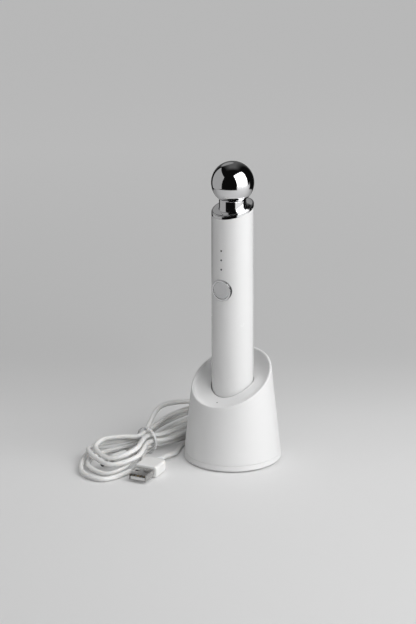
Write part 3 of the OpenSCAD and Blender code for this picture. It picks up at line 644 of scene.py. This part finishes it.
# tip of the small indicator's light guide in the dish
gz = (RIM_H - math.tan(math.radians(RIM_TILT)) * GUIDE_Y - RIM_LIP
      - (dish_depth(-math.pi / 2) - RIM_LIP)
      * math.sqrt(1 - ((GUIDE_Y - SOCKET_R)
                       / (cone_rim(-math.pi / 2) - 2 * RIM_LIP
                          - SOCKET_R)) ** 4))
tip = lathe("stand_indicator", rounded(
    [(0.6, -1.0), (0.6, 0.03), (0.45, 0.06), (0.02, 0.08)], 0.1), 48)
place(tip, Matrix.Translation((0, -GUIDE_Y * MM, gz * MM))
      @ Matrix.Rotation(math.radians(14.0), 4, "X"))
dress(tip, M_DOT, "stand", "light_clear")


# ------------------------------------------------------------------ wand
def plane_z(z0, x, y):
    return z0 + math.tan(math.radians(HEAD_TILT)) * (x * sind(HEAD_TURN)
                                                     + y * cosd(HEAD_TURN))


def slant_ring(r, z0, dz=0.0):
    """Ring of radius r on the head's slanted plane through z0."""
    pts = []
    for i in range(N):
        a = 2 * math.pi * i / N - math.radians(HEAD_TURN)
        x, y = r * math.cos(a), r * math.sin(a)
        pts.append((x, y, plane_z(z0, x, y) + dz))
    return pts


def level_ring(r, z):
    return [(r * math.cos(2 * math.pi * i / N - math.radians(HEAD_TURN)),
             r * math.sin(2 * math.pi * i / N - math.radians(HEAD_TURN)), z)
            for i in range(N)]


barrel_top = slant_ring(WAND_R, HEAD_Z, -0.3)
barrel_rings = []
for j in range(61):
    low = level_ring(WAND_R, SEAT_Z + 2.0)
    barrel_rings.append([(p[0], p[1], p[2] + (q[2] - p[2]) * j / 60.0)
                         for p, q in zip(low, barrel_top)])
barrel_rings += [slant_ring(WAND_R, HEAD_Z, -0.14),
                 slant_ring(WAND_R - 0.04, HEAD_Z, -0.07),
                 slant_ring(WAND_R - 0.12, HEAD_Z, -0.03),
                 slant_ring(WAND_R - 1.4, HEAD_Z, -0.03)]
barrel = rings_mesh("barrel_look", barrel_rings)
sharpen(barrel, 40.0)
dress(barrel, M_BARREL, "wand", "white_barrel", "barrel")

# chrome collar: slanted band, rounded edge, domed face, straight neck
collar_top = slanted_rings(N, lambda a: WAND_R, BAND_Z, HEAD_TILT,
                           COLLAR_LIP, 90.0, lambda a: -COLLAR_RISE,
                           NECK_R + 0.35, 10, 14, HEAD_TURN)
band = [slant_ring(WAND_R - 1.4, HEAD_Z, 0.02),
        slant_ring(WAND_R - 0.14, HEAD_Z, 0.02),
        slant_ring(WAND_R - 0.04, HEAD_Z, 0.06)]
for t in (0.0, 0.08, 0.25, 0.5, 0.75, 0.93):
    band.append(slant_ring(WAND_R, HEAD_Z,
                           0.14 + (BAND_Z - COLLAR_LIP - HEAD_Z - 0.14) * t))
neck = []
for k in range(1, 7):
    b = math.pi / 2 * k / 6
    neck.append(slant_ring(NECK_R + 0.35 * (1 - math.sin(b)), BAND_Z,
                           COLLAR_RISE + 0.35 * (1 - math.cos(b))))
for t in (0.03, 0.1, 0.3, 0.5, 0.7, 0.9, 0.98, 1.0):
    neck.append([(p[0], p[1], p[2] + (BALL_CUT - 0.2 - p[2]) * t)
                 for p in slant_ring(NECK_R, BAND_Z, COLLAR_RISE + 0.35)])
neck += [level_ring(NECK_R - 0.05, BALL_CUT - 0.08),
         level_ring(NECK_R - 0.15, BALL_CUT - 0.04),
         level_ring(NECK_R - 2.0, BALL_CUT - 0.04)]
collar = rings_mesh("head_collar_look", band + collar_top + neck)
sharpen(collar, 50.0)
dress(collar, M_CHROME, "wand", "chrome", "head_collar")

profile = []
start = math.asin((BALL_CUT - BALL_Z) / BALL_R)
for k in range(97):
    b = start + (math.pi / 2 - start) * k / 96
    profile.append((max(BALL_R * math.cos(b), 0.01),
                    BALL_Z + BALL_R * math.sin(b)))
profile = [(6.4, BALL_CUT), (NECK_R - 0.15, BALL_CUT)] + profile
ball = lathe("massage_ball_look", profile, 256)
dress(ball, M_CHROME, "wand", "chrome", "massage_ball")

# button: proud chrome ring with a black painted-shade sleeve on its side,
# groove darkened with painted shade, pale domed cap
ring_profile = rounded(
    [(RING_R - 0.02, 9.0), (RING_R - 0.02, RING_FRONT - 0.5),
     (RING_R - 0.02, RING_FRONT), (RING_R - 0.4, RING_FRONT),
     (RING_R - 0.9, RING_FRONT), (RING_R - 1.3, RING_FRONT),
     (RING_R - 1.3, RING_FRONT - 0.5), (RING_R - 1.3, RING_FRONT - 1.3)],
    [0, 0, 0.22, 0, 0, 0.18, 0, 0], 6)
ring_obj = lathe("button_ring_look", ring_profile, 128, "y")
place(ring_obj, Matrix.Translation((0, 0, BUTTON_Z * MM)))
dress(ring_obj, M_CHROME, "wand", "chrome", "button_ring")
# black sleeve over the ring's outer side wall: painted shade, a dark
# reflection and the shadow gap between barrel and ring painted in black
side = lathe("button_side_painted_shade", [(RING_R, 9.0), (RING_R, RING_FRONT - 1.2),
                             (RING_R, RING_FRONT - 0.22)], 128, "y")
place(side, Matrix.Translation((0, 0, BUTTON_Z * MM)))
dress(side, M_BLACK, "wand", "black_plastic")
cap_profile = rounded(
    [(5.62, RING_FRONT - 1.3), (5.62, RING_FRONT - 0.05),
     (5.1, RING_FRONT + 0.12), (3.8, RING_FRONT + 0.2),
     (0.02, RING_FRONT + 0.25)], [0, 0.35, 0.4, 0.6, 0], 6)
cap = lathe("button_cap_look", cap_profile, 128, "y")
place(cap, Matrix.Translation((0, 0, BUTTON_Z * MM)))
dress(cap, M_BUTTON, "button", "button_white", "button_cap")
# black annulus at the bottom of the gap between cap and ring: painted shade in
# the groove
groove = lathe("button_groove_painted_shade", [(5.8, RING_FRONT - 0.55),
                                 (5.5, RING_FRONT - 0.55)], 96, "y")
place(groove, Matrix.Translation((0, 0, BUTTON_Z * MM)))
dress(groove, M_BLACK, "wand", "black_plastic")

for i, z in enumerate(LIGHTS_Z):
    dot = lathe("light_%d" % (i + 1), rounded(
        [(0.62, WAND_R - 0.5), (0.62, WAND_R + 0.01),
         (0.45, WAND_R + 0.035), (0.02, WAND_R + 0.05)], 0.08), 40, "y")
    place(dot, Matrix.Translation((0, 0, z * MM)))
    dress(dot, M_LIGHT, "wand", "light_clear")

# ------------------------------------------------------------- lead plugs
usb_m = lead_matrix(USB_MOUTH[0], USB_MOUTH[1], USB_MID, USB_BACK)
plug_m = lead_matrix(PLUG_END[0], PLUG_END[1], PLUG_MID, PLUG_BACK)


def rect_ring(x, w, h, r, per=6):
    pts = []
    for cx, cy, a0 in ((w / 2 - r, h / 2 - r, 0), (-w / 2 + r, h / 2 - r, 90),
                       (-w / 2 + r, -h / 2 + r, 180),
                       (w / 2 - r, -h / 2 + r, 270)):
        for k in range(per + 1):
            a = a0 + 90.0 * k / per
            pts.append((x, cx + r * cosd(a), cy + r * sind(a)))
    return pts


shell_rings = []
for x, w, h, r in ((16.0, 12.0, 4.5, 0.6), (0.2, 12.0, 4.5, 0.6),
                   (0.06, 11.93, 4.43, 0.58), (0.0, 11.78, 4.28, 0.5),
                   (0.0, 11.5, 4.0, 0.36), (0.07, 11.34, 3.84, 0.32),
                   (0.2, 11.3, 3.8, 0.3), (12.0, 11.3, 3.8, 0.3)):
    shell_rings.append(rect_ring(x, w, h, r))
usb_shell = recalc(rings_mesh("usb_shell_look", shell_rings, (False, True)))
cutters = []
for s in (-1, 1):
    for z in (0.0, -5.0):
        cutters.append(box_mesh("cut_window", (5.2, s * 3 - 1.25, z),
                                (7.2, s * 3 + 1.25, z + 5.0)))
cut(usb_shell, cutters)
sharpen(usb_shell, 40.0)
place(usb_shell, usb_m)
dress(usb_shell, M_STEEL, "stand", "plug_steel", "usb_shell")

grip_rings = []
L = 17.5
for t, w, h in ((0.0, 14.2, 6.4), (0.02, 15.0, 7.2), (0.06, 15.5, 7.7),
                (0.16, 15.6, 7.8), (0.5, 15.6, 7.8), (0.7, 15.5, 7.8),
                (0.8, 15.0, 7.6), (0.88, 13.7, 7.2), (0.94, 11.6, 6.7),
                (0.98, 9.2, 6.1), (1.0, 7.0, 5.4)):
    grip_rings.append(rect_ring(12.0 + L * t, w, h,
                                min(1.9, h * 0.32), 8))
grip = rings_mesh("usb_grip_look", grip_rings, (True, True))
mod = grip.modifiers.new("smooth", "SUBSURF")
mod.levels = 2
mod.render_levels = 2
apply_mods(grip)
for poly in grip.data.polygons:
    poly.use_smooth = True
place(recalc(grip), usb_m)
dress(grip, M_PLUG, "stand", "plug_white", "usb_grip")


def relief_profile(l, r0, r1, count=4):
    pts = [(0.05, 0.0)]
    for k in range(count):
        for t, dr in ((0.0, 0.0), (0.6, 0.0), (0.7, 0.35), (0.95, 0.35)):
            r = r0 + (r1 - r0) * (k + t) / count - dr
            pts.append((r, l * (k + t) / count))
    pts += [(r1, l), (1.5, l)]
    return pts


usb_relief = lathe("usb_relief_look",
                   rounded(relief_profile(6.5, 2.9, 1.9), 0.12, 3), 64, "x")
place(usb_relief, usb_m @ Matrix.Translation((29.5 * MM, 0, 0)))
sharpen(usb_relief, 50.0)
dress(usb_relief, M_PLUG, "stand", "plug_white", "usb_strain_relief")

plug_relief = lathe("plug_relief_look",
                    rounded(relief_profile(6.5, 2.5, 1.8), 0.12, 3), 64, "x")
place(plug_relief, plug_m @ Matrix.Translation((22.5 * MM, 0, 0)))
sharpen(plug_relief, 50.0)
dress(plug_relief, M_PLUG, "stand", "plug_white", "plug_strain_relief")

plug_grip = lathe("plug_grip_look", rounded(
    [(1.8, 8.5), (3.4, 8.5), (4.0, 9.6), (4.0, 19.0), (3.7, 21.4),
     (2.6, 22.5), (1.0, 22.5)], [0, 0.5, 0.8, 2.0, 1.0, 0.6, 0]), 96, "x")
place(plug_grip, plug_m)
dress(plug_grip, M_PLUG, "stand", "plug_white", "plug_grip")
plug_barrel = lathe("plug_barrel_look", rounded(
    [(1.25, 0.9), (1.55, 0.8), (1.75, 1.0), (1.75, 9.5)], 0.1), 64, "x")
place(plug_barrel, plug_m)
dress(plug_barrel, M_STEEL, "stand", "plug_steel", "plug_barrel")
plug_tip = lathe("plug_tip_look", rounded(
    [(0.65, 6.0), (0.65, 0.1), (0.75, 0.0), (1.6, 0.0), (1.74, 0.15),
     (1.74, 0.8)], 0.06), 64, "x")
place(plug_tip, plug_m)
dress(plug_tip, M_BLACK, "stand", "black_plastic", "plug_tip")

# tie: a round milky band that stands on the table round the strands
band_line = []
for r, x in ((TIE_R - TIE_T, -0.7), (TIE_R - TIE_T, 0.7),
             (TIE_R - TIE_T + 0.1, 0.87), (TIE_R - 0.1, 0.87),
             (TIE_R, 0.7), (TIE_R, -0.7), (TIE_R - 0.1, -0.87),
             (TIE_R - TIE_T + 0.1, -0.87)):
    ring = []
    for i in range(96):
        a = 2 * math.pi * i / 96
        ring.append((x, r * math.cos(a), r * math.sin(a)))
    band_line.append(ring)
tie = recalc(rings_mesh("tie_look", band_line, loop=True))
sharpen(tie, 40.0)
place(tie, lead_matrix(WAIST[0], WAIST[1], TIE_R + 0.01, TIE_TURN))
dress(tie, M_TIE, "stand", "tie_clear", "cable_tie")


# ------------------------------------------------------ floor and studio
DEPTH_MIN, DEPTH_MAX = -0.3, 1.3
# floor colour by depth: painted shade, darker behind the stand, standing in
# for the fall of the light over the floor
FLOOR_SHADE_STOPS = [(-0.3, 0.66), (-0.05, 0.68), (0.07, 0.6), (0.16, 0.46),
               (0.22, 0.44), (0.6, 0.46), (1.3, 0.46)]
GLOW_STOPS = [(-0.3, 0.05), (-0.1, 0.09), (0.07, 0.14), (0.23, 0.17),
              (0.44, 0.22), (0.72, 0.29), (1.3, 0.35)]
AMBIENT = 0.15
BACKDROP = 0.46
TABLE_EDGE = (0.36, 0.4)
WALL_LEVEL, SPOT_LEVEL, ROOM_LEVEL = 0.125, 0.36, 0.005
SPOT_AZ, SPOT_EL = -166.0, 33.0


def depth_ramp(tree, depth, stops, kind):
    """Grey ramp over the depth behind the stand, in metres."""
    ramp = tree.nodes.new("ShaderNodeValToRGB")
    ramp.color_ramp.interpolation = kind
    while len(ramp.color_ramp.elements) < len(stops):
        ramp.color_ramp.elements.new(0.5)
    for el, (d, v) in zip(ramp.color_ramp.elements, stops):
        el.position = (d - DEPTH_MIN) / (DEPTH_MAX - DEPTH_MIN)
        el.color = (v, v, v, 1.0)
    tree.links.new(depth.outputs["Result"], ramp.inputs["Fac"])
    return ramp


def studio():
    mesh = bpy.data.meshes.new("floor")
    s = 6.0
    mesh.from_pydata([(-s, -s, 0), (s, -s, 0), (s, s, 0), (-s, s, 0)], [],
                     [(0, 1, 2, 3)])
    floor = bpy.data.objects.new("floor", mesh)
    bpy.context.collection.objects.link(floor)
    mat, tree, bsdf = new_material("floor_paper")
    co = tree.nodes.new("ShaderNodeTexCoord")
    # depth behind the stand, along the line of sight on the floor
    away = Vector((-sind(AZ), cosd(AZ), 0.0))
    dot = node(tree, "ShaderNodeVectorMath", operation="DOT_PRODUCT")
    dot.inputs[1].default_value = away
    tree.links.new(co.outputs["Object"], dot.inputs[0])
    rng = node(tree, "ShaderNodeMapRange")
    rng.inputs["From Min"].default_value = DEPTH_MIN
    rng.inputs["From Max"].default_value = DEPTH_MAX
    tree.links.new(dot.outputs["Value"], rng.inputs["Value"])
    # the floor's base colour follows this ramp: painted shade for the light's
    # falloff with depth
    ramp = depth_ramp(tree, rng, FLOOR_SHADE_STOPS, "B_SPLINE")
    tree.links.new(ramp.outputs["Color"], bsdf.inputs["Base Color"])
    bsdf.inputs["Roughness"].default_value = 0.75
    grain = node(tree, "ShaderNodeTexNoise", Scale=1800.0, Detail=3.0)
    bmp = node(tree, "ShaderNodeBump")
    bmp.inputs["Distance"].default_value = 0.00003
    tree.links.new(co.outputs["Object"], grain.inputs["Vector"])
    tree.links.new(grain.outputs["Fac"], bmp.inputs["Height"])
    tree.links.new(bmp.outputs[0], bsdf.inputs["Normal"])
    # in what the chrome mirrors, the table ends a little way off,
    length = node(tree, "ShaderNodeVectorMath", operation="LENGTH")
    tree.links.new(co.outputs["Object"], length.inputs[0])
    edge = node(tree, "ShaderNodeMapRange")
    edge.inputs["From Min"].default_value = TABLE_EDGE[0]
    edge.inputs["From Max"].default_value = TABLE_EDGE[1]
    tree.links.new(length.outputs["Value"], edge.inputs["Value"])
    # but not on the key window's side
    keep = []
    for turn in (110.0, 15.0):
        side = node(tree, "ShaderNodeVectorMath", operation="DOT_PRODUCT")
        side.inputs[1].default_value = (sind(AZ + turn), -cosd(AZ + turn),
                                        0.0)
        tree.links.new(co.outputs["Object"], side.inputs[0])
        soft = node(tree, "ShaderNodeMapRange")
        soft.inputs["From Min"].default_value = 0.0
        soft.inputs["From Max"].default_value = 0.05
        tree.links.new(side.outputs["Value"], soft.inputs["Value"])
        keep.append(soft.outputs["Result"])
    sector = node(tree, "ShaderNodeMath", operation="MULTIPLY")
    tree.links.new(keep[0], sector.inputs[0])
    tree.links.new(keep[1], sector.inputs[1])
    off = node(tree, "ShaderNodeMath", operation="SUBTRACT")
    off.inputs[0].default_value = 1.0
    tree.links.new(sector.outputs[0], off.inputs[1])
    either = node(tree, "ShaderNodeMath", operation="MULTIPLY")
    tree.links.new(edge.outputs["Result"], either.inputs[0])
    tree.links.new(off.outputs[0], either.inputs[1])
    path = tree.nodes.new("ShaderNodeLightPath")
    both = node(tree, "ShaderNodeMath", operation="MULTIPLY")
    tree.links.new(either.outputs[0], both.inputs[0])
    tree.links.new(path.outputs["Is Glossy Ray"], both.inputs[1])
    beyond = tree.nodes.new("ShaderNodeBsdfTransparent")
    mix = tree.nodes.new("ShaderNodeMixShader")
    out = [n for n in tree.nodes if n.type == "OUTPUT_MATERIAL"][0]
    tree.links.new(both.outputs[0], mix.inputs[0])
    # the backdrop that the camera sees is lit on its own
    glow = depth_ramp(tree, rng, GLOW_STOPS, "LINEAR")
    lamp = node(tree, "ShaderNodeEmission")
    tree.links.new(glow.outputs["Color"], lamp.inputs["Color"])
    tree.links.new(path.outputs["Is Camera Ray"], lamp.inputs["Strength"])
    lit = tree.nodes.new("ShaderNodeAddShader")
    tree.links.new(bsdf.outputs[0], lit.inputs[0])
    tree.links.new(lamp.outputs[0], lit.inputs[1])
    tree.links.new(lit.outputs[0], mix.inputs[1])
    tree.links.new(beyond.outputs[0], mix.inputs[2])
    tree.links.new(mix.outputs[0], out.inputs[0])
    floor.data.materials.append(mat)

    world = bpy.data.worlds.new("studio")
    bpy.context.scene.world = world
    world.use_nodes = True
    wt = world.node_tree
    wt.nodes.clear()
    wout = wt.nodes.new("ShaderNodeOutputWorld")
    wpath = wt.nodes.new("ShaderNodeLightPath")
    wco = wt.nodes.new("ShaderNodeTexCoord")
    # what the chrome mirrors: a dim ceiling and wall behind the object,
    # and a lighter patch of backdrop for the collar's face
    def facing(direction, low, high, either_way=False):
        """Mask that rises where the view runs along a direction."""
        dot = node(wt, "ShaderNodeVectorMath", operation="DOT_PRODUCT")
        dot.inputs[1].default_value = direction
        wt.links.new(wco.outputs["Generated"], dot.inputs[0])
        size = node(wt, "ShaderNodeMath", operation="ABSOLUTE")
        wt.links.new(dot.outputs["Value"], size.inputs[0])
        fall = node(wt, "ShaderNodeMapRange")
        fall.inputs["From Min"].default_value = low
        fall.inputs["From Max"].default_value = high
        wt.links.new(size.outputs[0] if either_way else dot.outputs["Value"],
                     fall.inputs["Value"])
        return fall.outputs["Result"]

    def times(a, b):
        m = node(wt, "ShaderNodeMath", operation="MULTIPLY")
        wt.links.new(a, m.inputs[0])
        if isinstance(b, float):
            m.inputs[1].default_value = b
        else:
            wt.links.new(b, m.inputs[1])
        return m.outputs[0]

    behind = facing((-sind(AZ), cosd(AZ), 0.0), -0.1, 0.25)
    middle = facing((cosd(AZ), sind(AZ), 0.0), 0.5, 0.15, True)
    a = AZ + SPOT_AZ
    spot = facing((sind(a) * cosd(SPOT_EL), -cosd(a) * cosd(SPOT_EL),
                   sind(SPOT_EL)), 0.955, 0.975)
    wall = times(times(behind, middle), WALL_LEVEL)
    glow = node(wt, "ShaderNodeMath", operation="MAXIMUM")
    wt.links.new(wall, glow.inputs[0])
    wt.links.new(times(spot, SPOT_LEVEL), glow.inputs[1])
    level = node(wt, "ShaderNodeMath", operation="ADD")
    level.inputs[1].default_value = ROOM_LEVEL
    wt.links.new(glow.outputs[0], level.inputs[0])
    bg_gloss = wt.nodes.new("ShaderNodeBackground")
    wt.links.new(level.outputs[0], bg_gloss.inputs["Strength"])
    bg_diff = wt.nodes.new("ShaderNodeBackground")
    bg_diff.inputs["Color"].default_value = (1, 1, 1, 1)
    bg_diff.inputs["Strength"].default_value = AMBIENT
    bg_cam = wt.nodes.new("ShaderNodeBackground")
    bg_cam.inputs["Color"].default_value = (BACKDROP,) * 3 + (1,)
    m1 = wt.nodes.new("ShaderNodeMixShader")
    m2 = wt.nodes.new("ShaderNodeMixShader")
    wt.links.new(wpath.outputs["Is Glossy Ray"], m1.inputs[0])
    wt.links.new(bg_diff.outputs[0], m1.inputs[1])
    wt.links.new(bg_gloss.outputs[0], m1.inputs[2])
    wt.links.new(wpath.outputs["Is Camera Ray"], m2.inputs[0])
    wt.links.new(m1.outputs[0], m2.inputs[1])
    wt.links.new(bg_cam.outputs[0], m2.inputs[2])
    wt.links.new(m2.outputs[0], wout.inputs[0])


def softbox(name, az, el, dist, w, h, radiance):
    """Area light: az from the camera's side towards the right, el up."""
    a = AZ + az
    d = Vector((sind(a) * cosd(el), -cosd(a) * cosd(el), sind(el)))
    data = bpy.data.lights.new(name, "AREA")
    data.shape = "RECTANGLE"
    data.size = w
    data.size_y = h
    data.energy = radiance * math.pi * w * h
    obj = bpy.data.objects.new(name, data)
    bpy.context.collection.objects.link(obj)
    centre = Vector((0, 0, 0.15))
    obj.location = centre + d * dist
    obj.rotation_euler = d.to_track_quat("Z", "Y").to_euler()
    return obj


studio()
softbox("key_window", 54.0, 19.0, 1.0, 1.22, 1.32, 2.1)
softbox("key_upper", 50.0, 46.0, 1.05, 1.0, 0.5, 2.2)
overhead = softbox("overhead", 5.0, 76.0, 1.1, 1.0, 0.9, 1.05)
overhead.visible_glossy = False
softbox("fill_window", -98.0, 9.0, 1.1, 1.75, 1.5, 0.36)
bpy.context.scene.view_settings.view_transform = "Standard"
